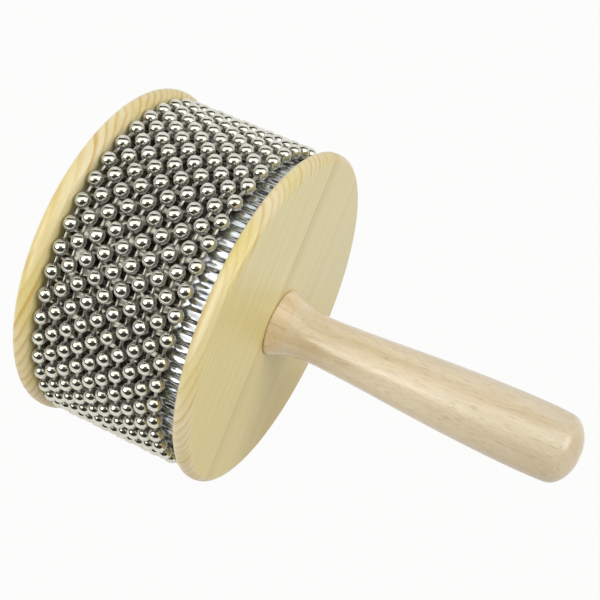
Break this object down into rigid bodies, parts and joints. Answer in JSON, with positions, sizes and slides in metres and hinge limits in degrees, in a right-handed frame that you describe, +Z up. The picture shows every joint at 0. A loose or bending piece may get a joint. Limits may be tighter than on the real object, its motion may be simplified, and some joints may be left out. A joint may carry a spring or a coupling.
{
  "type": "cabasa",
  "caption": "Cabasa: a wooden drum on a turned handle, with loops of steel ball chain that turn round a ridged steel sleeve.",
  "frame": {"origin": "on the floor, under the middle of the whole length, with the drum lying on the rims of its two discs", "axes": "+X along the drum's axis towards the handle's end, +Z up, +Y to the left of someone looking along +X"},
  "size_m": [0.1696, 0.116, 0.116],
  "materials": {
    "turned_beech": "satin lacquer",
    "pine_board": "satin lacquer",
    "core_wood": "raw turned wood",
    "sleeve_steel": "bright embossed sheet",
    "chain_plating": "bright nickel plate",
    "screw_steel": "zinc plate"
  },
  "bodies": {
    "drum": {"handle": "turned_beech", "front_disc": "pine_board", "rear_disc": "pine_board", "core": "core_wood", "sleeve": "sleeve_steel", "screw": "screw_steel"},
    "strand_01": {"strand_01_beads": "chain_plating", "strand_01_links": "chain_plating"},
    "strand_02": {"strand_02_beads": "chain_plating", "strand_02_links": "chain_plating"},
    "strand_03": {"strand_03_beads": "chain_plating", "strand_03_links": "chain_plating"},
    "strand_04": {"strand_04_beads": "chain_plating", "strand_04_links": "chain_plating"},
    "strand_05": {"strand_05_beads": "chain_plating", "strand_05_links": "chain_plating"},
    "strand_06": {"strand_06_beads": "chain_plating", "strand_06_links": "chain_plating"},
    "strand_07": {"strand_07_beads": "chain_plating", "strand_07_links": "chain_plating"},
    "strand_08": {"strand_08_beads": "chain_plating", "strand_08_links": "chain_plating"},
    "strand_09": {"strand_09_beads": "chain_plating", "strand_09_links": "chain_plating"},
    "strand_10": {"strand_10_beads": "chain_plating", "strand_10_links": "chain_plating"}
  },
  "joints": [
    {"name": "strand_01_turn", "type": "hinge", "parent": "drum", "child": "strand_01", "pos_m": [-0.07611, 0, 0.058], "axis": [1, 0, 0], "continuous": true},
    {"name": "strand_02_turn", "type": "hinge", "parent": "drum", "child": "strand_02", "pos_m": [-0.0714, 0, 0.058], "axis": [1, 0, 0], "continuous": true},
    {"name": "strand_03_turn", "type": "hinge", "parent": "drum", "child": "strand_03", "pos_m": [-0.0667, 0, 0.058], "axis": [1, 0, 0], "continuous": true},
    {"name": "strand_04_turn", "type": "hinge", "parent": "drum", "child": "strand_04", "pos_m": [-0.06199, 0, 0.058], "axis": [1, 0, 0], "continuous": true},
    {"name": "strand_05_turn", "type": "hinge", "parent": "drum", "child": "strand_05", "pos_m": [-0.05728, 0, 0.058], "axis": [1, 0, 0], "continuous": true},
    {"name": "strand_06_turn", "type": "hinge", "parent": "drum", "child": "strand_06", "pos_m": [-0.05257, 0, 0.058], "axis": [1, 0, 0], "continuous": true},
    {"name": "strand_07_turn", "type": "hinge", "parent": "drum", "child": "strand_07", "pos_m": [-0.04787, 0, 0.058], "axis": [1, 0, 0], "continuous": true},
    {"name": "strand_08_turn", "type": "hinge", "parent": "drum", "child": "strand_08", "pos_m": [-0.04316, 0, 0.058], "axis": [1, 0, 0], "continuous": true},
    {"name": "strand_09_turn", "type": "hinge", "parent": "drum", "child": "strand_09", "pos_m": [-0.03845, 0, 0.058], "axis": [1, 0, 0], "continuous": true},
    {"name": "strand_10_turn", "type": "hinge", "parent": "drum", "child": "strand_10", "pos_m": [-0.03374, 0, 0.058], "axis": [1, 0, 0], "continuous": true}
  ],
  "couplings": [
    {"joint": "strand_02_turn", "follows": "strand_01_turn", "ratio": 1},
    {"joint": "strand_03_turn", "follows": "strand_01_turn", "ratio": 1},
    {"joint": "strand_04_turn", "follows": "strand_01_turn", "ratio": 1},
    {"joint": "strand_05_turn", "follows": "strand_01_turn", "ratio": 1},
    {"joint": "strand_06_turn", "follows": "strand_01_turn", "ratio": 1},
    {"joint": "strand_07_turn", "follows": "strand_01_turn", "ratio": 1},
    {"joint": "strand_08_turn", "follows": "strand_01_turn", "ratio": 1},
    {"joint": "strand_09_turn", "follows": "strand_01_turn", "ratio": 1},
    {"joint": "strand_10_turn", "follows": "strand_01_turn", "ratio": 1}
  ]
}
